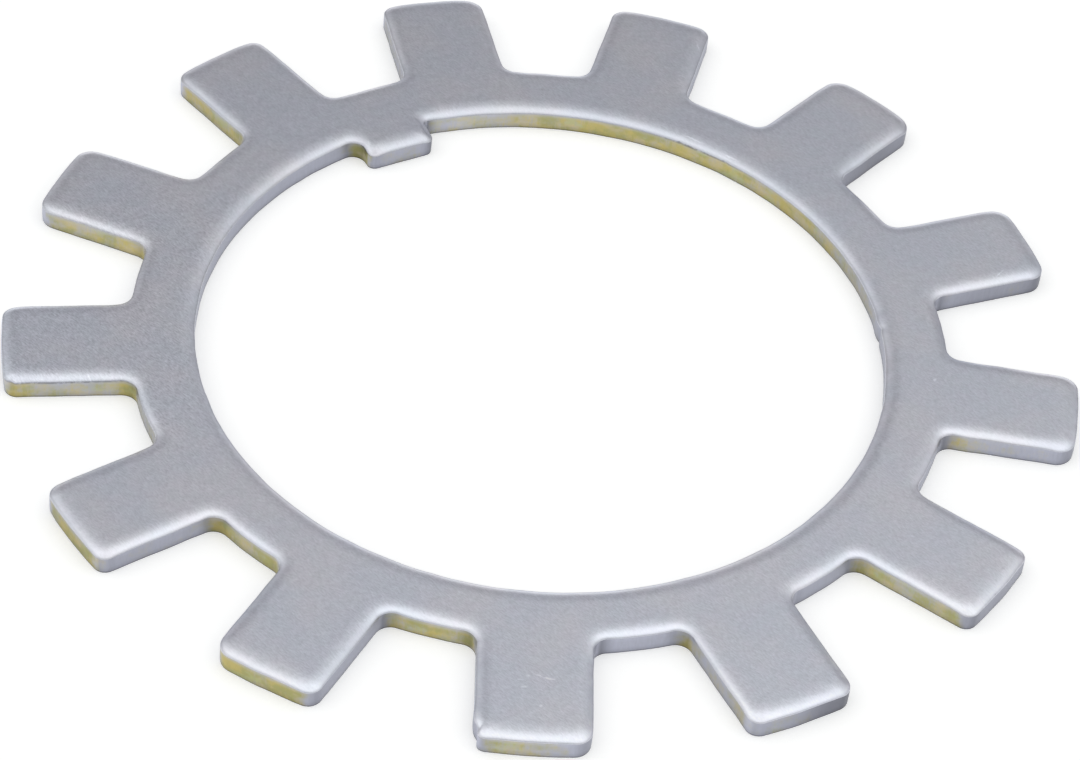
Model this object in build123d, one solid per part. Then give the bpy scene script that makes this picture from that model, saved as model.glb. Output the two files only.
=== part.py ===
from build123d import *
import os

# Lock plate: a tab washer blanked in one stroke from sheet steel, with a row of outer locking tabs
# and one tongue that keys into a groove in the shaft. Lengths are in millimetres.
# The origin is on the bore axis at the underside, +Z is up through the sheet and +Y points at the tongue.

sheet_thickness = 1.8
edge_break = 0.12  # chamfer that tumbling leaves along the underside edges

bore_diameter = 50.0
ring_width = 4.65  # sheet left between the bore and the bottom of the notches

tab_count = 13
tab_length = 9.05
tab_width = 7.85
tab_corner_radius = 0.85
notch_corner_radius = 1.15

tongue_width = 5.5
tongue_depth = 2.3
tongue_corner_radius = 0.6
tongue_root_radius = 0.8

# The punch drags the top edges down before it shears them. Each top edge is an arc of
# roll_radius that ends in a crisp crease, roll_drop below the top face, where the wall begins.
roll_radius = 1.4
roll_drop = 0.38
roll_flank_share = 0.7  # most of the tongue's flank that a rolled corner may take
least_corner_radius = 0.25

bore_radius = bore_diameter / 2
notch_radius = bore_radius + ring_width
tip_radius = notch_radius + tab_length
tongue_flank = tongue_depth - bore_radius + (bore_radius**2 - (tongue_width / 2) ** 2) ** 0.5
edge_roll = min(roll_radius, roll_flank_share * tongue_flank)
roll_width = (edge_roll**2 - (edge_roll - roll_drop) ** 2) ** 0.5
roll_margin = edge_roll - roll_width


def corners_at(outline, radius):
    """Corners of an outline that lie on a circle about the bore axis."""
    return [v for v in outline.vertices() if abs(Vector(v.X, v.Y).length - radius) < 1e-4]


def tabbed_disc(margin, tab_corner, notch_corner):
    """Outer outline, larger all round by a margin: a disc with one parallel-sided tab to each pitch.

    The discs are turned so that the start of each circle is hidden, under a tab or in a notch.
    """
    pitch = 360 / tab_count
    notch = notch_radius + margin
    tip = tip_radius + margin
    tab = Pos(0, tip) * Rectangle(tab_width + 2 * margin, 2 * tip)
    outline = Rot(0, 0, 90 + pitch / 2) * Circle(notch)
    for index in range(tab_count):
        outline += Rot(0, 0, (index + 0.5) * pitch) * tab
    outline &= Rot(0, 0, 90) * Circle(tip)
    outline = fillet(corners_at(outline, notch), notch_corner)
    return fillet(corners_at(outline, tip), tab_corner)


def keyed_bore(margin, tongue_corner, tongue_root):
    """Bore outline, smaller all round by a margin: a circle with the square-ended tongue left in it."""
    radius = bore_radius - margin
    width = tongue_width + 2 * margin
    end = Vector(width / 2, radius - tongue_depth)
    tongue = Pos(0, radius) * Rectangle(width, 2 * tongue_depth)
    outline = Rot(0, 0, 90) * Circle(radius) - tongue
    outline = fillet(corners_at(outline, end.length), tongue_corner)
    return fillet(corners_at(outline, radius), tongue_root)


def sheared_blank():
    """The plan, cut straight through the sheet."""
    plan = tabbed_disc(0, tab_corner_radius, notch_corner_radius)
    plan -= keyed_bore(0, tongue_corner_radius, tongue_root_radius)
    return extrude(plan, sheet_thickness)


def rolled_envelope():
    """A wider plan with rounded top edges, whose crown meets the walls of the blank at the crease.

    Its outward corners are no sharper than the roll, so the roll deepens there, as it does in the sheet.
    """
    plan = tabbed_disc(
        roll_margin,
        max(tab_corner_radius + roll_margin, edge_roll),
        max(notch_corner_radius - roll_margin, least_corner_radius),
    )
    plan -= keyed_bore(
        roll_margin,
        max(tongue_corner_radius + roll_margin, edge_roll),
        max(tongue_root_radius - roll_margin, least_corner_radius),
    )
    block = Pos(0, 0, -edge_roll) * extrude(plan, sheet_thickness + edge_roll)
    return fillet(block.faces().sort_by(Axis.Z)[-1].edges(), edge_roll)


def lock_plate():
    """The blank under the rolled crown, with its underside edges broken."""
    plate = sheared_blank() & rolled_envelope()
    return chamfer(plate.faces().sort_by(Axis.Z)[0].edges(), edge_break)


os.makedirs("parts", exist_ok=True)
plate = lock_plate()
plate.label = "lock_plate"
export_step(plate, "parts/lock_plate.step")
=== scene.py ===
import math

import bmesh
import bpy
import numpy as np
from mathutils import Euler, Matrix


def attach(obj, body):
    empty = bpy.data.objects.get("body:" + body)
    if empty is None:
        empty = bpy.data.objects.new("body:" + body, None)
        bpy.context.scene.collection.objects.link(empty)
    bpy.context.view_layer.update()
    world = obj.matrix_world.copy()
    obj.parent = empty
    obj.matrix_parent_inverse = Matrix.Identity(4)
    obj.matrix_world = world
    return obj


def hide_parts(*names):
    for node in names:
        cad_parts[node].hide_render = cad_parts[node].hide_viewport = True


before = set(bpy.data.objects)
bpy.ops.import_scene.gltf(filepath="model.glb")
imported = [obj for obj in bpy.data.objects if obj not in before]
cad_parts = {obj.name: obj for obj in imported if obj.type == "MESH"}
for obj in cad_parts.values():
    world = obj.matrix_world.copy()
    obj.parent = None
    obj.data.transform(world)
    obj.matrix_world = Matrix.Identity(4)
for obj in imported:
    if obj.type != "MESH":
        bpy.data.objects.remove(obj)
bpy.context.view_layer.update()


# Lock plate. One ring of 1.8 mm cold-rolled strip, blanked in one stroke with its thirteen locking
# tabs and the tongue that keys it to the shaft, then tumbled, zinc plated and passivated. The punch
# drags the top edges down before it shears them, which leaves a soft roll above a plain sheared wall.

mm = 0.001
sheet = 1.8
bore_radius = 25.0
tab_count = 13
notch_radius = 29.65
notch_corner = 1.15
tab_half_width = 3.925
# From the bore axis to each tab's tip, anticlockwise from the tongue: five tabs are trimmed a little long.
tab_reaches = (38.67, 38.67, 38.67, 38.67, 38.69, 38.72, 38.87, 38.98, 39.08, 39.03, 38.94, 38.69, 38.68)
left_corners = (1.0, 1.3, 1.0, 0.9, 1.05, 1.3, 1.1, 0.9, 1.2, 1.2, 1.4, 1.05, 0.9)
right_corners = (0.85, 1.2, 0.95, 1.1, 1.35, 0.9, 1.0, 0.9, 1.4, 1.35, 1.5, 1.2, 1.35)
tabs_off_centre = (0.03, 0.235)  # the bore is pierced a little off the middle of the tabs

tongue_end = 22.7  # from the bore axis
tongue_sides = (-3.0, 2.4)
tongue_corners = (0.6, 0.65)
tongue_roots = (1.0, 0.4)

side_roll = 1.3
tip_roll = 1.65
tip_roll_zone = (0.2, 1.4)  # short of the tip, where the tip's wider roll is in full and where it begins
outer_drop = 0.26
bore_roll = 1.5
bore_drop = 0.32
roll_power = 2.7
corner_deepening = 0.4  # share that the drop grows by for each radian the outline turns
deepest_turns = (-0.6, 2)
crease_radius = 0.14
tear_height = 0.55
tear_recess = 0.004
break_recess = 0.02  # the lower third of the wall is torn, not cut, and stands back
edge_break = 0.05
break_share = 0.3  # of the edge break, where its rounding has a row
under_reach = 0.3  # how far the edge's last row lies in under the plate

# Random waves along the edges: height and wavelength.
drop_wave = (0.04, 5)  # as a share of the drop
edge_wave = (0.010, 2.2)
tear_wave = (0.12, 4)

# Steps in each stretch of the outlines, and rows of the edges.
notch_steps = 10
corner_steps = 14
side_steps = 32
tip_steps = 13
bore_steps = 330
tongue_side_steps = (4, 6)
tongue_corner_steps = 10
tongue_end_steps = 18
tongue_root_steps = (14, 8)
roll_shares = (1.25, 1.03, *np.linspace(0.95, 0, 11) ** 1.25)  # two of them still on the flat top
crease_shares = np.linspace(0, 1, 6)[1:]
wall_shares = (0.75, 0.5, 0.25)

# Reaches along the outline, over which a direction or a turn is taken.
square_reach = 0.08
eased_reach = 2.0
roll_turn_reach = 1.3
wall_reach = 0.25
wall_turn_reach = 0.9

square_within = 0.45  # insets within which the rows run square to the outline, and dents still show
dent_within = 0.5
chip_heights = (0.8, 1.4)


def arc(centre, radius, start, end, steps):
    """Points of an arc from one polar angle to another, its end point left out."""
    angle = np.linspace(start, end, steps, endpoint=False)[:, None]
    return np.asarray(centre) + radius * np.hstack([np.cos(angle), np.sin(angle)])


def straight(start, end, steps):
    """Evenly spaced points of a straight run, its end point left out."""
    share = np.linspace(0, 1, steps, endpoint=False)[:, None]
    return (1 - share) * np.asarray(start) + share * np.asarray(end)


def one_tab(tip_radius, left_corner, right_corner):
    """One tab's outline about +Y, from notch middle to notch middle, anticlockwise. Each half is a half
    notch arc, a hollow corner, a side, a tip corner and half a tip arc, the second half mirrored."""
    halves = []
    for corner_radius in (right_corner, left_corner):
        hollow = np.array([tab_half_width + notch_corner, 0])
        hollow[1] = math.sqrt((notch_radius + notch_corner) ** 2 - hollow[0] ** 2)
        corner = np.array([tab_half_width - corner_radius, 0])
        corner[1] = math.sqrt((tip_radius - corner_radius) ** 2 - corner[0] ** 2)
        neck = math.atan2(hollow[1], hollow[0])
        tip = math.atan2(corner[1], corner[0])
        halves.append(np.vstack([
            arc((0, 0), notch_radius, math.pi / 2 - math.pi / tab_count, neck, notch_steps),
            arc(hollow, notch_corner, neck + math.pi, math.pi, corner_steps),
            straight((tab_half_width, hollow[1]), (tab_half_width, corner[1]), side_steps),
            arc(corner, corner_radius, 0, tip, corner_steps),
            arc((0, 0), tip_radius, tip, math.pi / 2, tip_steps),
            [(0, tip_radius)],
        ]))
    return np.vstack([halves[0][:-1], (halves[1] * (-1, 1))[:0:-1]])


def tabbed_outline():
    """Outer outline, anticlockwise from above: the tabs, each turned to its place."""
    tabs = []
    for index, (reach, left_corner, right_corner) in enumerate(zip(tab_reaches, left_corners, right_corners)):
        turn = (index + 0.5) * 2 * math.pi / tab_count
        spin = np.array([(math.cos(turn), math.sin(turn)), (-math.sin(turn), math.cos(turn))])
        tabs.append(one_tab(reach, left_corner, right_corner) @ spin)
    return np.vstack(tabs) + tabs_off_centre


def keyed_outline():
    """Bore outline, clockwise from above: a circle, broken by the tongue's two hollow roots, two sides,
    two corners and flat end. A root's centre lies its own radius inside the bore and off the side."""
    left, right = tongue_sides
    round_left, round_right = tongue_corners
    root_left, root_right = tongue_roots
    hollow_left = np.array([left - root_left, 0])
    hollow_left[1] = math.sqrt((bore_radius - root_left) ** 2 - hollow_left[0] ** 2)
    hollow_right = np.array([right + root_right, 0])
    hollow_right[1] = math.sqrt((bore_radius - root_right) ** 2 - hollow_right[0] ** 2)
    left_turn = math.atan2(hollow_left[1], hollow_left[0])
    right_turn = math.atan2(hollow_right[1], hollow_right[0])
    corner_left = (left + round_left, tongue_end + round_left)
    corner_right = (right - round_right, tongue_end + round_right)
    return np.vstack([
        arc((0, 0), bore_radius, 1.5 * math.pi, left_turn, bore_steps),
        arc(hollow_left, root_left, left_turn, 0, tongue_root_steps[0]),
        straight((left, hollow_left[1]), (left, corner_left[1]), tongue_side_steps[0]),
        arc(corner_left, round_left, math.pi, 1.5 * math.pi, tongue_corner_steps),
        straight((corner_left[0], tongue_end), (corner_right[0], tongue_end), tongue_end_steps),
        arc(corner_right, round_right, -0.5 * math.pi, 0, tongue_corner_steps),
        straight((right, corner_right[1]), (right, hollow_right[1]), tongue_side_steps[1]),
        arc(hollow_right, root_right, math.pi, right_turn, tongue_root_steps[1]),
        arc((0, 0), bore_radius, right_turn, -0.5 * math.pi, bore_steps),
    ])


def along(outline):
    """Distance along a closed outline to each of its points, and its whole length."""
    step = np.linalg.norm(np.roll(outline, -1, 0) - outline, axis=1)
    return np.concatenate([[0], np.cumsum(step)[:-1]]), step.sum()


def slid(outline, distance):
    """The outline's points, each slid along it by a distance."""
    place, length = along(outline)
    return np.stack([np.interp(place + distance, place, axis, period=length) for axis in outline.T], 1)


def inward(outline, reach):
    """Unit vectors into the sheet: square to the chord between the points a reach before and after."""
    chord = slid(outline, reach) - slid(outline, -reach)
    normal = np.stack([-chord[:, 1], chord[:, 0]], 1)
    return normal / np.linalg.norm(normal, axis=1)[:, None]


def turning(outline, reach):
    """How far the outline turns, as the angle between the chords before and after each point: positive
    on an outward corner."""
    before = outline - slid(outline, -reach)
    after = slid(outline, reach) - outline
    cross = before[:, 0] * after[:, 1] - before[:, 1] * after[:, 0]
    return np.arctan2(cross, (before * after).sum(1))


def wander(outline, wave, seed):
    """A smooth random wave along the outline, of about the wave's height: sines of whole turns, with
    random phases and strengths that fall off for turns shorter than the wavelength."""
    height, wavelength = wave
    place, length = along(outline)
    chance = np.random.default_rng(seed)
    turns = np.arange(1, int(3 * length / wavelength))
    strength = np.exp(-((turns * wavelength / length) ** 2)) * chance.normal(size=len(turns))
    phase = chance.uniform(0, 2 * math.pi, len(turns))
    sines = np.sin(turns[:, None] * place * 2 * math.pi / length + phase[:, None])
    total = (strength[:, None] * sines).sum(0)
    return height * (total / total.std())


def bell_at(outline, spot, length):
    """A bell along the outline, one high at the outline point nearest to a spot and a length wide."""
    place, whole = along(outline)
    nearest = place[np.argmin(np.linalg.norm(outline - spot, axis=1))]
    gap = (place - nearest + whole / 2) % whole - whole / 2
    return np.exp(-((gap / (length / 2)) ** 2))


def bells(outline, marks):
    """The sum of all marks. A mark is a place x and y, a length along the outline and an amount, and
    stands for the amount times the bell at that place."""
    return sum(amount * bell_at(outline, (x, y), length) for x, y, length, amount in marks)


def edge_rows(outline, roll, deepest, dents, chips, seed):
    """Rows of points round an outline, from the flat top over the roll, down the wall and under to the
    flat underside, with each row's mean inset. A row is the outline moved in by an inset, at a height.

    Over the roll the height is the sheet less a drop times (1 - inset / roll) to a power, and the drop
    changes where the outline turns. The crease is an arc added to that. An inset runs square to the
    outline at the edge and, further in, to its chord over a longer reach, which eases the corners. The
    dents move the outline itself, less and less further in, and chips only move its upper part."""
    turn = np.clip(turning(outline, roll_turn_reach), *deepest_turns)
    drop = deepest * (1 + corner_deepening * turn) * (1 + wander(outline, drop_wave, seed))
    reach = roll - crease_radius
    slope = np.arctan(drop * roll_power / reach)
    step = wander(outline, edge_wave, seed + 1)
    tear = tear_height + wander(outline, tear_wave, seed + 2)
    level = np.zeros(len(outline))

    insets, heights = [], []
    for share in roll_shares:
        insets.append(crease_radius + reach * share)
        heights.append(sheet - drop * max(1 - share, 0) ** roll_power)
    shoulder = heights[-1]
    for share in crease_shares:
        angle = slope + (math.pi / 2 - slope) * share
        insets.append(crease_radius * (1 - np.sin(angle)) / (1 - np.sin(slope)))
        heights.append(shoulder - crease_radius * (np.cos(slope) - np.cos(angle)))
    wall_top = heights[-1]
    for share in wall_shares:
        insets.append(level)
        heights.append(tear + (wall_top - tear) * share)
    insets += [level + tear_recess, level + break_recess / 2, level + break_recess]
    heights += [tear, (tear + edge_break) / 2, level + edge_break]
    for inset in (break_share * edge_break, edge_break, edge_break + under_reach):
        insets.append(level + break_recess + inset)
    heights += [level + break_share * edge_break, level, level]

    square, eased = inward(outline, square_reach), inward(outline, eased_reach)
    rows = []
    for inset, height in zip(insets, heights):
        at_edge = math.exp(-((inset.mean() / square_within) ** 2))
        way = eased + (square - eased) * at_edge
        way /= np.linalg.norm(way, axis=1)[:, None]
        dent = step + dents + chips * np.interp(height.mean(), chip_heights, (0, 1))
        dent = dent * math.exp(-((inset.mean() / dent_within) ** 2))
        rows.append(np.hstack([outline + way * (inset + dent)[:, None], height[:, None]]))
    return np.array(rows), np.array([inset.mean() for inset in insets])


# Dents and chips of the edges, as marks: place, length along the edge and depth.
tab_dents = ((-21.0, -31.4, 0.9, 0.26), (-20.4, -30.1, 1.2, -0.05))
tab_chips = ((-37.3, 9.9, 0.5, 0.14), (-25.8, 23.6, 0.8, 0.06))
bore_dents = ((23.2, -8.5, 0.5, 0.10), (23.5, -7.6, 1.2, -0.05))
bore_chips = ((19.9, 15.3, 0.4, 0.05), (21.9, 12.1, 0.3, 0.06))
tab_seed = 11
bore_seed = 23

tabs = tabbed_outline()
bore = keyed_outline()
at_tip = np.interp(min(tab_reaches) - np.linalg.norm(tabs, axis=1), tip_roll_zone, (1, 0))
tab_roll = side_roll + (tip_roll - side_roll) * at_tip
even_roll = np.full(len(bore), bore_roll)
tab_rows, tab_depth = edge_rows(
    tabs, tab_roll, outer_drop, bells(tabs, tab_dents), bells(tabs, tab_chips), tab_seed
)
bore_rows, bore_depth = edge_rows(
    bore, even_roll, bore_drop, bells(bore, bore_dents), bells(bore, bore_chips), bore_seed
)


def band_faces(rows, first):
    """Quads between each row of a closed band and the next, facing outwards."""
    count, around = rows.shape[:2]
    index = first + np.arange(count * around).reshape(count, around)
    after = np.roll(index, -1, 1)
    return np.stack([index[:-1], index[1:], after[1:], after[:-1]], -1).reshape(-1, 4)


plate_points = np.vstack([tab_rows.reshape(-1, 3), bore_rows.reshape(-1, 3)]) * mm
plate_faces = np.vstack([band_faces(tab_rows, 0), band_faces(bore_rows, tab_rows[..., 0].size)])
plate_mesh = bpy.data.meshes.new("lock_plate")
plate_mesh.from_pydata(plate_points, [], plate_faces)


def fill_flats(mesh):
    """Fills the flat top and the flat underside between the two bands' open rims, facing outwards."""
    shell = bmesh.new()
    shell.from_mesh(mesh)
    rim = [edge for edge in shell.edges if edge.is_boundary]
    for out in (1, -1):
        edges = [edge for edge in rim if (edge.verts[0].co.z - sheet * mm / 2) * out > 0]
        made = bmesh.ops.triangle_fill(shell, use_beauty=True, edges=edges, normal=(0, 0, out))["geom"]
        for face in made:
            if isinstance(face, bmesh.types.BMFace) and face.normal.z * out < 0:
                face.normal_flip()
    shell.to_mesh(mesh)
    shell.free()


fill_flats(plate_mesh)
plate_mesh.shade_smooth()


# The passivation drains to one side of the plate as it hangs, and dries yellow on the walls there.
# Stains are where it is stronger or weaker than that, as marks: place, length along the wall, amount.
drain = np.array([-0.80, -0.60])
corner_undrained = 0.5  # how much less the film gathers for each radian that an outward corner turns
tab_stains = (
    (33.3, -8.0, 9.0, -0.30),
    (27.0, -23.2, 9.0, -0.45),
    (12.5, -32.2, 5.0, -0.08),
    (4.0, -38.0, 6.0, -0.30),
    (-3.9, -33.8, 5.0, -0.20),
    (-4.2, -29.4, 2.0, 0.20),
    (-7.1, -28.8, 7.0, -0.60),
    (-14.3, -36.2, 5.5, -0.38),
    (-19.4, -33.5, 3.0, -0.04),
    (-27.5, -26.6, 4.0, 0.12),
    (-31.3, -22.8, 4.0, 0.10),
    (-33.8, -18.6, 3.0, 0.45),
    (-26.7, -13.1, 2.5, 0.10),
    (-29.0, -7.4, 2.5, 0.15),
    (-38.3, -4.7, 7.0, 0.20),
    (-28.6, 7.6, 2.6, 0.16),
    (-33.5, 8.8, 6.0, -0.10),
    (-37.3, 9.6, 2.0, 0.38),
    (-25.5, 23.2, 6.0, -0.10),
)
bore_stains = (
    (8.6, 23.5, 4.0, -0.05),
    (15.4, 19.7, 8.0, 0.10),
    (24.6, 4.3, 9.0, 0.10),
    (-2.9, 23.6, 1.6, 0.42),
)

# Patches of painted shade darken a wall, or where their amount is below nothing lighten it. They are marks
# too.
tab_shade_patches = (
    (37.7, -8.4, 4.0, 0.22),
    (33.3, -8.0, 7.0, 0.20),
    (33.2, 8.4, 10.0, 0.30),
    (27.0, -23.2, 9.0, 0.08),
    (-26.7, -13.1, 2.5, -0.18),
    (-28.6, 7.6, 2.6, -0.15),
    (-22.8, 19.7, 2.5, -0.15),
    (18.5, -34.2, 6.0, 0.08),
    (14.7, -35.6, 2.5, 0.12),
    (2.2, -38.9, 5.0, 0.38),
)
bore_shade_patches = ((-3.0, 23.3, 1.5, 0.06), (2.4, 23.4, 1.5, 0.42), (5.5, 24.4, 5.0, -0.16))

# Painted shade by how far a wall faces a side, from minus one to one: the facings, and the amounts at them.
painted_shade_side = np.array([0.854, -0.519])
shaded_side = np.array([-0.519, -0.854])
side_painted_shade = ((-0.9, -0.5, 0.1, 0.6), (0.16, 0, 0, 0.16))
corner_painted_shade = ((-0.8, -0.3), (-0.289, 0.17))
hollow_painted_shade = ((0.62, 0.80), (0, 0.42))

# How dark the painted shade line along the crease is: everywhere, and what a mark adds to it.
tab_crease_shade = 0.35 + bells(tabs, [(-33.2, 8.4, 12, 0.65)])
bore_crease_shade = 0.45 + bells(bore, [(20.6, 14.2, 7, 0.55)])
crease_shade_rows = (14, 17, 18)  # the band rows where the painted crease shade starts, is darkest and ends
wall_rows = (17, 24)  # the band rows between which the wall runs, from the crease to the edge break


def drained(outline, rows, stains):
    """How far each wall point faces the side that the bath drained to, less on the rounded corners, and
    more or less at each stain."""
    corner = np.clip(turning(outline, wall_turn_reach), 0, 1)
    facing = -inward(outline, wall_reach) @ drain - corner_undrained * corner
    return np.tile(facing + bells(outline, stains), len(rows))


def painted_wall_shade(outline, rows, shade_patches):
    """How much painted shade darkens the wall at each point: on two sides of the plate, on the outward
    corners of all but one side, whose corners painted light lightens instead, deep in the hollow corners of
    another side, and at the shade patches."""
    out = -inward(outline, wall_reach)
    turn = turning(outline, wall_turn_reach)
    shade_amount = np.interp(out @ painted_shade_side, *side_painted_shade)
    shade_amount = shade_amount + np.clip(turn, 0, 1) * np.interp(out @ painted_shade_side, *corner_painted_shade)
    shade_amount = shade_amount + np.clip(-turn, 0, 1) * np.interp(out @ shaded_side, *hollow_painted_shade)
    return np.tile(shade_amount + bells(outline, shade_patches), len(rows))


def add_values(mesh, name, *bands):
    """Stores one number per vertex, band by band, as a named attribute for the materials."""
    layer = mesh.attributes.new(name, "FLOAT", "POINT")
    layer.data.foreach_set("value", np.concatenate([np.ravel(band) for band in bands]).astype(np.float32))


at_crease = np.interp(np.arange(len(tab_depth)), crease_shade_rows, (0, 1, 0))
add_values(plate_mesh, "inset", np.repeat(tab_depth, len(tabs)), np.repeat(bore_depth, len(bore)))
add_values(plate_mesh, "crease", np.outer(at_crease, tab_crease_shade), np.outer(at_crease, bore_crease_shade))
add_values(plate_mesh, "drained", drained(tabs, tab_rows, tab_stains), drained(bore, bore_rows, bore_stains))
add_values(plate_mesh, "painted_wall_shade", painted_wall_shade(tabs, tab_rows, tab_shade_patches), painted_wall_shade(bore, bore_rows, bore_shade_patches))

face_row = np.concatenate([
    np.repeat(np.arange(len(rows) - 1), rows.shape[1]) for rows in (tab_rows, bore_rows)
])
slot_of_face = np.zeros(len(plate_mesh.polygons), np.int32)
slot_of_face[: len(face_row)] = (face_row >= wall_rows[0]) & (face_row < wall_rows[1])
plate_mesh.polygons.foreach_set("material_index", slot_of_face)


def node(tree, kind, inputs=(), **settings):
    """Adds a shader node. Inputs are values or other nodes' outputs, by socket name or number."""
    made = tree.nodes.new("ShaderNode" + kind)
    for name, value in settings.items():
        setattr(made, name, value)
    for name, value in dict(inputs).items():
        if isinstance(value, bpy.types.NodeSocket):
            tree.links.new(value, made.inputs[name])
        else:
            made.inputs[name].default_value = value
    return made


def maths(tree, operation, *values):
    """The output of a Math node."""
    return node(tree, "Math", enumerate(values), operation=operation).outputs[0]


def product(tree, first, *others):
    """The product of several values."""
    for other in others:
        first = maths(tree, "MULTIPLY", first, other)
    return first


def vector_maths(tree, operation, *values):
    """The vector that a Vector Math node puts out."""
    return node(tree, "VectorMath", enumerate(values), operation=operation).outputs["Vector"]


def scaled(tree, vector, factor):
    """A vector or a colour times a number."""
    return node(tree, "VectorMath", {0: vector, "Scale": factor}, operation="SCALE").outputs["Vector"]


def ramp(tree, value, low, high, start=0.0, end=1.0):
    """A value taken smoothly from start to end as it runs from low to high."""
    names = ("Value", "From Min", "From Max", "To Min", "To Max")
    inputs = zip(names, (value, low, high, start, end))
    return node(tree, "MapRange", inputs, interpolation_type="SMOOTHSTEP").outputs[0]


def mixed(tree, share, first, second):
    """Two colours mixed by a share."""
    return node(tree, "Mix", {0: share, 6: first, 7: second}, data_type="RGBA").outputs[2]


def noise(tree, place, scale, detail=2.0, roughness=0.5):
    """The value of a Noise Texture at a place in millimetres."""
    inputs = {"Vector": place, "Scale": scale, "Detail": detail, "Roughness": roughness}
    return node(tree, "TexNoise", inputs).outputs["Fac"]


def stretched(tree, place, scale):
    """A place scaled along its three axes, so that a pattern on it is drawn out where the scale is small."""
    return node(tree, "Mapping", {"Vector": place, "Scale": scale}).outputs[0]


def attribute(tree, name):
    """A number that the mesh carries."""
    return node(tree, "Attribute", attribute_name=name).outputs["Fac"]


def new_group(name, inputs, outputs):
    """A shader node group with named sockets, and its input and output nodes."""
    tree = bpy.data.node_groups.new(name, "ShaderNodeTree")
    for way, sockets in (("INPUT", inputs), ("OUTPUT", outputs)):
        for socket, kind in sockets.items():
            tree.interface.new_socket(name=socket, in_out=way, socket_type="NodeSocket" + kind)
    return tree, tree.nodes.new("NodeGroupInput"), tree.nodes.new("NodeGroupOutput")


rolling_direction = math.radians(70)
grain_stretch = (1.0, 3.4, 2.0)  # along the rolling direction, across it and upright
# A noise is its scale per mm, detail and roughness. A span is the part of it over which a mask rises.
grain_noise = (3.0, 4, 0.75)
mottle_noise = (1.7, 2, 0.5)
cloud_noise = (0.16, 2, 0.5)
# Small marks of the strip: socket, cells per mm, the mark's radius and the share of cells without one.
specks = (("Fleck", 0.55, 0.12, 0.93), ("Pit", 0.75, 0.09, 0.90))
speck_core = 0.4  # share of the radius within which a mark is in full
speck_blend = 0.03


def strip_grain():
    """Surface of rolled and tumbled strip: fine grain drawn out along the rolling direction, a soft
    mottle, wide clouds of tone, and small bright flecks and dark pits."""
    tree, given, out = new_group(
        "strip grain",
        {"Place": "Vector"},
        {"Grain": "Float", "Mottle": "Float", "Cloud": "Float", "Fleck": "Float", "Pit": "Float"},
    )
    place = given.outputs["Place"]
    turn = {"Vector": place, "Angle": rolling_direction}
    rolled = node(tree, "VectorRotate", turn, rotation_type="Z_AXIS").outputs[0]
    drawn = stretched(tree, rolled, grain_stretch)
    tree.links.new(noise(tree, drawn, *grain_noise), out.inputs["Grain"])
    tree.links.new(noise(tree, place, *mottle_noise), out.inputs["Mottle"])
    tree.links.new(noise(tree, place, *cloud_noise), out.inputs["Cloud"])
    for socket, per_mm, radius, share in specks:
        cells = node(tree, "TexVoronoi", {"Vector": place, "Scale": per_mm})
        small = ramp(tree, cells.outputs["Distance"], radius * per_mm, speck_core * radius * per_mm)
        chance = node(tree, "SeparateColor", {0: cells.outputs["Color"]}).outputs[0]
        chosen = ramp(tree, chance, share, share + speck_blend)
        tree.links.new(maths(tree, "MULTIPLY", small, chosen), out.inputs[socket])
    return tree


ragged_scale = 5.0  # noise that moves a scrape's outline: its scale per mm, and how far it moves it
ragged_shift = 0.18
scrape_core = 0.35  # share of the size within which a scrape is in full


def scrape():
    """One short scrape: a soft mask, one in the middle, that falls off across the scrape's width and
    along its length, with a ragged outline."""
    tree, given, out = new_group(
        "scrape",
        {"Place": "Vector", "Centre": "Vector", "Turn": "Vector", "Size": "Vector"},
        {"Mask": "Float"},
    )
    place, centre, turn, size = (given.outputs[name] for name in ("Place", "Centre", "Turn", "Size"))
    ragged = node(tree, "TexNoise", {"Vector": place, "Scale": ragged_scale}).outputs["Color"]
    shift = scaled(tree, vector_maths(tree, "SUBTRACT", ragged, (0.5, 0.5, 0.5)), ragged_shift)
    local = vector_maths(tree, "SUBTRACT", vector_maths(tree, "ADD", place, shift), centre)
    back = {"Vector": local, "Rotation": turn}
    turned = node(tree, "VectorRotate", back, rotation_type="EULER_XYZ", invert=True).outputs[0]
    share = vector_maths(tree, "DIVIDE", turned, size)
    reach = node(tree, "VectorMath", {0: share}, operation="LENGTH").outputs["Value"]
    tree.links.new(ramp(tree, reach, 1.0, scrape_core), out.inputs["Mask"])
    return tree


grain_group = strip_grain()
scrape_group = scrape()


def scrape_at(tree, place, centre, degrees, size):
    """The mask of a scrape at a centre, turned by some degrees, with half axes of a size."""
    turn = (0, 0, math.radians(degrees))
    inputs = {"Place": place, "Centre": centre, "Turn": turn, "Size": size}
    return node(tree, "Group", inputs, node_tree=scrape_group).outputs["Mask"]


def new_material(name):
    """A material, its node tree and its shader."""
    material = bpy.data.materials.new(name)
    material.use_nodes = True
    tree = material.node_tree
    return material, tree, tree.nodes["Principled BSDF"]


def place_in_mm(tree):
    """Object coordinates in millimetres."""
    return scaled(tree, node(tree, "TexCoord").outputs["Object"], 1 / mm)


# painted shade along the crease, used by both materials
crease_dark = 0.50
crease_zone = (0.20, 1.0)
crease_shade_noise = (2.8, 4, 0.65)
crease_shade_span = (0.33, 0.52)
spot_depth = 0.2
scrape_depth = 2

# Dark spots along the bore's crease: centre, direction in degrees, half length and half width in mm.
dark_crease_spots = (
    (19.55, 15.50, -35, 0.40, 0.16),
    (20.10, 14.80, -55, 0.55, 0.12),
    (20.90, 13.60, -57, 0.50, 0.10),
    (21.75, 12.25, -60, 0.20, 0.16),
)


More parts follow.
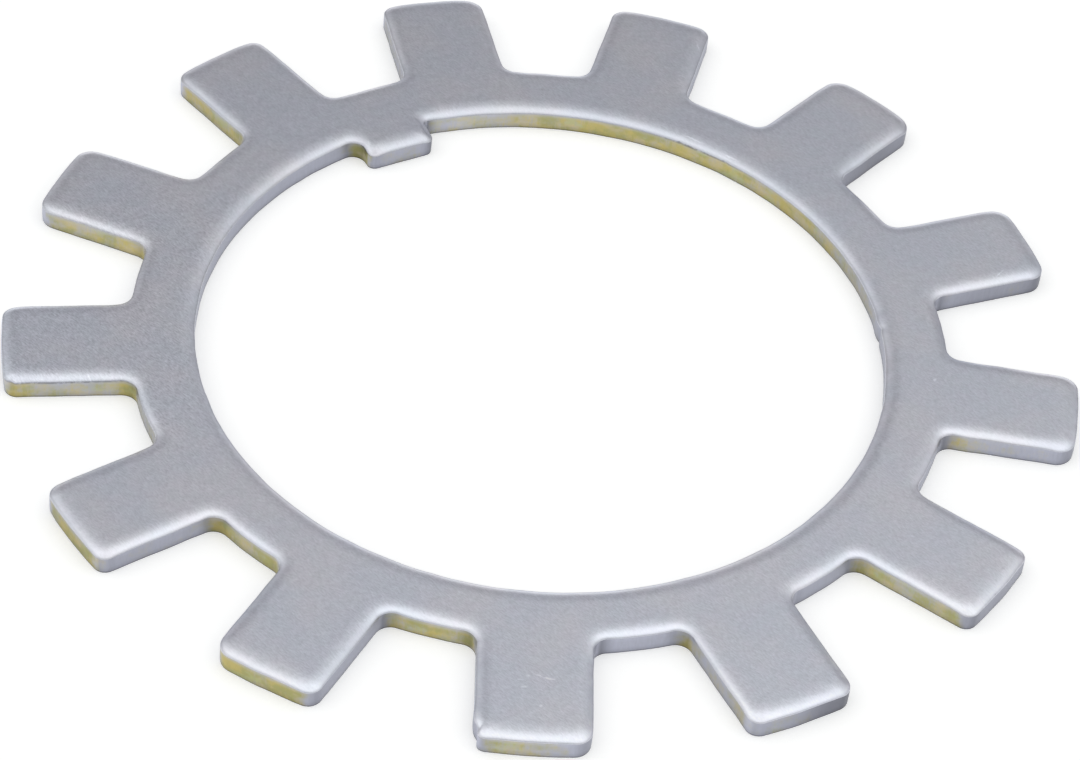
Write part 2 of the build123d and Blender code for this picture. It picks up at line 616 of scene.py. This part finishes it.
def crease_shade(tree, place):
    """Lightness along the crease: one, less a broken dark line of painted shade, which noise makes wider,
    thinner or absent, and less a few dark spots."""
    broken = ramp(tree, noise(tree, place, *crease_shade_noise), *crease_shade_span)
    dark = maths(tree, "MULTIPLY", ramp(tree, attribute(tree, "crease"), *crease_zone), broken)
    for x, y, degrees, length, width in dark_crease_spots:
        size = (length, width, spot_depth)
        spot = scrape_at(tree, place, (x, y, sheet - bore_drop), degrees, size)
        dark = maths(tree, "MAXIMUM", dark, spot)
    return maths(tree, "MULTIPLY_ADD", dark, -crease_dark, 1.0)


zinc_cool = (0.662, 0.686, 0.765, 1)
zinc_warm = (0.700, 0.703, 0.762, 1)
cloud_span = (0.35, 0.65)
tint_rose = (1.010, 0.997, 1.0, 1)
tint_green = (0.993, 1.002, 0.993, 1)
tint_noise = (0.9, 3, 0.6)
tint_span = (0.36, 0.64)
painted_light_drift = (-0.0005, -0.0027, 0)  # change of lightness per mm: painted light, the plate a little brighter at one side
mottle_contrast = 0.10
fleck_lighter = 0.12
pit_darker = 0.14
mottle_span = (0.3, 0.7)
face_roughness = (0.33, 0.39)
face_relief = 0.004  # depth of the grain in mm
mottle_relief = 1.4  # against the grain's one
scrape_relief = -3.0

coarse_middle = (-28, 14, sheet)  # the strip's grain is stronger about here
coarse_zone = (20, 8)  # distance from there within which it grows, and within which it is in full
grain_contrast = (0.74, 1.25)  # of the rest and of the coarse zone

burnish_and_highlight_zone = (0.75, 0.20)  # inset where tumbling has begun to burnish the face, and where it is in full; the lightening there is partly a painted highlight
# how much lighter the roll is: partly real burnish, partly a painted highlight
burnish_and_highlight_lighter = 0.22
burnished_smoother = 0.34
burnished_relief = -0.4
painted_rim_width = 0.22  # painted shade: the edge is a little darker along the crease
painted_rim_lightness = 0.76

# Scrapes that handling has left on the top face: centre, direction in degrees, half length and half width
# in mm, and how much lighter they are.
scrapes = (
    (-14.65, -29.78, -35, 0.52, 0.12, 0.297),
    (-15.16, -29.26, -54, 0.32, 0.10, 0.270),
    (-15.81, -28.98, -27, 0.20, 0.12, 0.216),
    (-16.53, -29.75, -27, 0.30, 0.11, 0.270),
    (-16.46, -29.08, -20, 0.36, 0.09, 0.1215),
    (-16.25, -31.68, 70, 0.20, 0.14, 0.243),
    (24.20, -15.05, 30, 0.22, 0.14, 0.270),
    (34.74, -7.01, 25, 0.70, 0.08, 0.216),
    (-31.72, 8.30, 94, 0.50, 0.07, 0.135),
    (26.39, 24.78, 75, 0.50, 0.12, 0.216),
    (20.75, 15.00, -58, 1.10, 0.10, 0.243),
    (22.40, 12.10, -62, 0.90, 0.08, 0.216),
    (18.90, -32.95, 30, 0.30, 0.16, -0.108),
)


def zinc_face():
    """Plated face: satin zinc, its tone and roughness varied by the strip's grain, lighter and smoother where
    tumbling burnishes it towards the edges, the lightening partly a painted highlight, with scrapes. Painted
    light makes one side of the plate a little brighter, and painted shade darkens the rim along the crease
    and the crease itself."""
    material, tree, shader = new_material("zinc_face")
    place = place_in_mm(tree)
    grain = node(tree, "Group", {"Place": place}, node_tree=grain_group).outputs
    marks = 0.0
    for x, y, degrees, length, width, lighter in scrapes:
        mask = scrape_at(tree, place, (x, y, sheet), degrees, (length, width, scrape_depth))
        marks = maths(tree, "MULTIPLY_ADD", mask, lighter, marks)

    inset = attribute(tree, "inset")
    # the burnish: smoother grain and relief, and a lightening that is partly a painted highlight
    burnish_and_highlight = ramp(tree, inset, *burnish_and_highlight_zone)
    away = node(tree, "VectorMath", {0: place, 1: coarse_middle}, operation="DISTANCE").outputs["Value"]
    contrast = ramp(tree, away, *coarse_zone, *grain_contrast)
    contrast = maths(tree, "MULTIPLY_ADD", burnish_and_highlight, -burnished_smoother, contrast)
    texture = maths(tree, "MULTIPLY", maths(tree, "SUBTRACT", grain["Grain"], 0.5), contrast)
    lightness = maths(tree, "MULTIPLY_ADD", burnish_and_highlight, burnish_and_highlight_lighter, maths(tree, "ADD", texture, 1.0))
    # painted light: the plate's lightness changes steadily across it, brighter at one side
    light_drift = node(tree, "VectorMath", {0: place, 1: painted_light_drift}, operation="DOT_PRODUCT").outputs["Value"]
    lightness = product(
        tree,
        lightness,
        maths(tree, "MULTIPLY_ADD", grain["Mottle"], mottle_contrast, 1 - mottle_contrast / 2),
        maths(tree, "ADD", light_drift, 1.0),
        # painted shade along the rim at the crease
        ramp(tree, inset, 0.0, painted_rim_width, painted_rim_lightness, 1.0),
    )
    lightness = maths(tree, "MULTIPLY_ADD", grain["Fleck"], fleck_lighter, lightness)
    lightness = maths(tree, "MULTIPLY_ADD", grain["Pit"], -pit_darker, lightness)
    lightness = maths(tree, "ADD", lightness, marks)
    lightness = maths(tree, "MULTIPLY", lightness, crease_shade(tree, place))

    tone = mixed(tree, ramp(tree, grain["Cloud"], *cloud_span), zinc_cool, zinc_warm)
    tint = mixed(tree, ramp(tree, noise(tree, place, *tint_noise), *tint_span), tint_rose, tint_green)
    colour = scaled(tree, vector_maths(tree, "MULTIPLY", tone, tint), lightness)
    tree.links.new(colour, shader.inputs["Base Color"])
    roughness = ramp(tree, grain["Mottle"], *mottle_span, *face_roughness)
    tree.links.new(roughness, shader.inputs["Roughness"])
    relief = maths(tree, "MULTIPLY_ADD", grain["Mottle"], mottle_relief, grain["Grain"])
    relief = maths(tree, "MULTIPLY", relief, maths(tree, "MULTIPLY_ADD", burnish_and_highlight, burnished_relief, 1.0))
    relief = maths(tree, "MULTIPLY_ADD", marks, scrape_relief, relief)
    bump = node(tree, "Bump", {"Height": relief, "Strength": 1.0, "Distance": face_relief * mm})
    tree.links.new(bump.outputs[0], shader.inputs["Normal"])
    shader.inputs["Metallic"].default_value = 1.0
    return material


wall_grey = (0.443, 0.455, 0.536, 1)
film_yellow = (0.50, 0.43, 0.17, 1)
film_olive = (0.38, 0.365, 0.16, 1)
film_rose = (0.54, 0.47, 0.34, 1)
film_green = (0.44, 0.47, 0.25, 1)
rose_span = (0.50, 0.66)
green_span = (0.56, 0.66)
tinge_most = 0.5  # the most of rose or green that the film takes
olive_span = (0.64, 0.86)
olive_lines = 0.5
hue_scale = 0.75
patch_noise = (1.0, 4, 0.6)
patch_stretch = (0.7, 0.7, 1.1)
shear_noise = (4.5, 4, 0.65)
shear_stretch = (1, 1, 0.18)
shear_span = (0.3, 0.7)
film_patches = 0.8  # how strongly patches and shear lines move the film's border
film_lines = 0.5
film_border = (0.48, 1.10)
film_top = (1.42, 1.05, 0.5, 1.0)  # heights under the crease, and how thick the film is at each
shear_lightness = (0.82, 0.50)  # at none of the shear lines' noise, and what all of it adds
# Lightness by height above the underside: two heights, and the lightness at each. A painted highlight just
# under the crease, painted shade over the lower wall, and more painted shade right at the bottom.
crease_highlight = (1.42, 1.0, 1.05, 1.0)
lower_wall_shade = (0.1, 0.6, 0.86, 1.0)
foot_shade = (0.02, 0.20, 0.38, 1.0)
wall_roughness = (0.36, 0.50)
wall_relief = 0.01  # in mm


def sheared_wall():
    """Sheared wall: duller zinc with upright shear lines, and a passivation film where the bath drained. The
    film is thinner along some of the lines and shifts between yellow, olive, rose and green. Painted shade
    darkens the wall on some sides and corners, along parts of the crease above it and towards its lower edge;
    a painted highlight lightens it just under the crease, and painted light some outward corners."""
    material, tree, shader = new_material("sheared_wall")
    place = place_in_mm(tree)
    sheared = noise(tree, stretched(tree, place, shear_stretch), *shear_noise)
    long = stretched(tree, place, patch_stretch)
    patches = noise(tree, long, *patch_noise)
    hues = node(tree, "TexNoise", {"Vector": long, "Scale": hue_scale, "Detail": 3.0}).outputs["Color"]
    hue_olive, hue_rose, hue_green = node(tree, "SeparateColor", {0: hues}).outputs
    height = node(tree, "SeparateXYZ", {0: place}).outputs[2]

    patch = maths(tree, "SUBTRACT", patches, 0.5)
    line = maths(tree, "SUBTRACT", sheared, 0.5)
    border = maths(tree, "MULTIPLY_ADD", patch, film_patches, attribute(tree, "drained"))
    border = maths(tree, "MULTIPLY_ADD", line, film_lines, border)
    film = maths(tree, "MULTIPLY", ramp(tree, border, *film_border), ramp(tree, height, *film_top))
    olive = ramp(tree, maths(tree, "MULTIPLY_ADD", sheared, olive_lines, hue_olive), *olive_span)
    colour = mixed(tree, olive, film_yellow, film_olive)
    colour = mixed(tree, ramp(tree, hue_rose, *rose_span, 0, tinge_most), colour, film_rose)
    colour = mixed(tree, ramp(tree, hue_green, *green_span, 0, tinge_most), colour, film_green)
    colour = mixed(tree, film, wall_grey, colour)

    lightness = product(
        tree,
        maths(tree, "MULTIPLY_ADD", sheared, shear_lightness[1], shear_lightness[0]),
        # painted shade by side, corner, hollow and patch, and painted light on some corners
        maths(tree, "SUBTRACT", 1.0, attribute(tree, "painted_wall_shade")),
        # a painted highlight under the crease, then painted shade over the lower wall and at the bottom
        ramp(tree, height, *crease_highlight),
        ramp(tree, height, *lower_wall_shade),
        ramp(tree, height, *foot_shade),
        # painted shade along the crease
        crease_shade(tree, place),
    )
    tree.links.new(scaled(tree, colour, lightness), shader.inputs["Base Color"])
    tree.links.new(ramp(tree, sheared, *shear_span, *wall_roughness), shader.inputs["Roughness"])
    bump = node(tree, "Bump", {"Height": sheared, "Strength": 1.0, "Distance": wall_relief * mm})
    tree.links.new(bump.outputs[0], shader.inputs["Normal"])
    shader.inputs["Metallic"].default_value = 1.0
    return material


plate_mesh.materials.append(zinc_face())
plate_mesh.materials.append(sheared_wall())
plate = bpy.data.objects.new("lock_plate_blank", plate_mesh)
bpy.context.scene.collection.objects.link(plate)
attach(plate, "root")
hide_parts("lock_plate")


# Floor. A wide sheet of matt white paper that the plate lies on. What the camera and the metal see of
# it is lifted to plain white, and the plate's own soft shadow stays on it.

floor_half = 3.0
floor_gap = 0.01  # in mm, under the plate
floor_lift = 0.38
paper_white = (0.86, 0.86, 0.86, 1)


def white_paper():
    """Matt paper, with a little light added for camera, glossy and transmission rays."""
    material, tree, shader = new_material("white_paper")
    tree.nodes.remove(shader)
    paper = node(tree, "BsdfDiffuse", {"Color": paper_white}).outputs[0]
    path = node(tree, "LightPath").outputs
    seen = maths(tree, "MAXIMUM", path["Is Camera Ray"], path["Is Glossy Ray"])
    seen = maths(tree, "MAXIMUM", seen, path["Is Transmission Ray"])
    lift = node(tree, "Emission", {"Strength": maths(tree, "MULTIPLY", seen, floor_lift)}).outputs[0]
    both = node(tree, "AddShader", {0: paper, 1: lift}).outputs[0]
    tree.links.new(both, tree.nodes["Material Output"].inputs["Surface"])
    return material


floor_mesh = bpy.data.meshes.new("floor")
corners = np.array([(-1, -1, 0), (1, -1, 0), (1, 1, 0), (-1, 1, 0)]) * floor_half - (0, 0, floor_gap * mm)
floor_mesh.from_pydata(corners, [], [(0, 1, 2, 3)])
floor_mesh.materials.append(white_paper())
floor = bpy.data.objects.new("floor", floor_mesh)
bpy.context.scene.collection.objects.link(floor)


# Studio light. A pale room under one long soft light, which hangs overhead and a little on the camera's
# side and fades out on the far side, so that the edges that roll towards the camera are bright.

view_turn = math.radians(-31.3)
room_level = 0.414
# Parts of the light: its strength, and the two places on its axis between which it fades in.
window_light = (0.275, 0.62, 0.40)
over_light = (0.415, 0.13, -0.12)
behind_light = (-0.36, -0.05, -0.70)
horizon_light = (0.10, 0.80, 1.00)
horizon_sides = (0.35, 0.05)
side_light = -0.12  # low down on the right
side_from = (0.25, 0.65)
side_beyond = (0.45, 0.70)
# Strips along which a part reaches further to the far side: middle, half width and how much further.
window_strip = (0.27, 0.42, 0.30)
over_strip = (0.32, 0.38, 0.46)
window_lean = 0.06
over_lean = (0.21, -0.22)
low_share = 0.50  # what is left of the light low down on the near side
low_near = (0.50, 0.10)
low_heights = (0.60, 0.10)
sky_colour = (0.975, 0.968, 1.000, 1)
lamp_colour = (0.985, 0.995, 0.985, 1)
lamp_fade = (0.70, 0.00)


def beyond_strip(tree, right, far, middle, half_width, further):
    """How far a ray points away, less what a strip with a bell's section adds."""
    across = maths(tree, "DIVIDE", maths(tree, "SUBTRACT", right, middle), half_width)
    bell = maths(tree, "EXPONENT", maths(tree, "MULTIPLY", maths(tree, "MULTIPLY", across, across), -1.0))
    return maths(tree, "MULTIPLY_ADD", bell, -further, far)


def room_light():
    """World light: a sum of smooth ramps on how far a ray points away from the camera. The window's and
    the overhead light's ramps start further out along a strip each, and lean out on one side."""
    world = bpy.data.worlds.new("room")
    world.use_nodes = True
    tree = world.node_tree
    ray = node(tree, "TexCoord").outputs["Generated"]
    turn = {"Vector": ray, "Angle": -view_turn}
    turned = node(tree, "VectorRotate", turn, rotation_type="Z_AXIS").outputs[0]
    right, far, up = node(tree, "SeparateXYZ", {0: turned}).outputs
    window = maths(tree, "MULTIPLY_ADD", right, window_lean, beyond_strip(tree, right, far, *window_strip))
    lean = maths(tree, "MULTIPLY", right, maths(tree, "MULTIPLY_ADD", right, over_lean[1], over_lean[0]))
    over = maths(tree, "ADD", beyond_strip(tree, right, far, *over_strip), lean)

    strength = room_level
    for place, (amount, start, end) in ((window, window_light), (over, over_light), (far, behind_light)):
        strength = maths(tree, "ADD", strength, ramp(tree, place, start, end, 0, amount))
    horizon = maths(tree, "MULTIPLY", ramp(tree, far, *horizon_light[1:]), ramp(tree, right, *horizon_sides))
    strength = maths(tree, "MULTIPLY_ADD", horizon, horizon_light[0], strength)
    side = maths(tree, "MULTIPLY", ramp(tree, right, *side_from), ramp(tree, far, *side_beyond))
    strength = maths(tree, "MULTIPLY_ADD", side, side_light, strength)
    low = maths(tree, "MULTIPLY", ramp(tree, far, *low_near), ramp(tree, up, *low_heights))
    strength = maths(tree, "MULTIPLY", strength, maths(tree, "MULTIPLY_ADD", low, low_share - 1, 1.0))
    background = tree.nodes["Background"]
    colour = mixed(tree, ramp(tree, over, *lamp_fade), sky_colour, lamp_colour)
    tree.links.new(colour, background.inputs["Color"])
    tree.links.new(strength, background.inputs["Strength"])
    return world


bpy.context.scene.world = room_light()


# Camera. A long lens, looking down at the plate from the tongue's left, turned a little on its own axis.

camera_place = (-0.10745, -0.17706, 0.19581)
camera_elevation = math.radians(43.797)
camera_roll = math.radians(6.263)
focal_length = 131.02
sensor_width = 36

lens = bpy.data.cameras.new("camera")
lens.sensor_width = sensor_width
lens.lens = focal_length
camera = bpy.data.objects.new("camera", lens)
aim = Euler((math.pi / 2 - camera_elevation, 0, view_turn)).to_matrix().to_4x4()
camera.matrix_world = Matrix.Translation(camera_place) @ aim @ Matrix.Rotation(camera_roll, 4, "Z")
bpy.context.scene.collection.objects.link(camera)
bpy.context.scene.camera = camera
bpy.context.scene.view_settings.view_transform = "Standard"
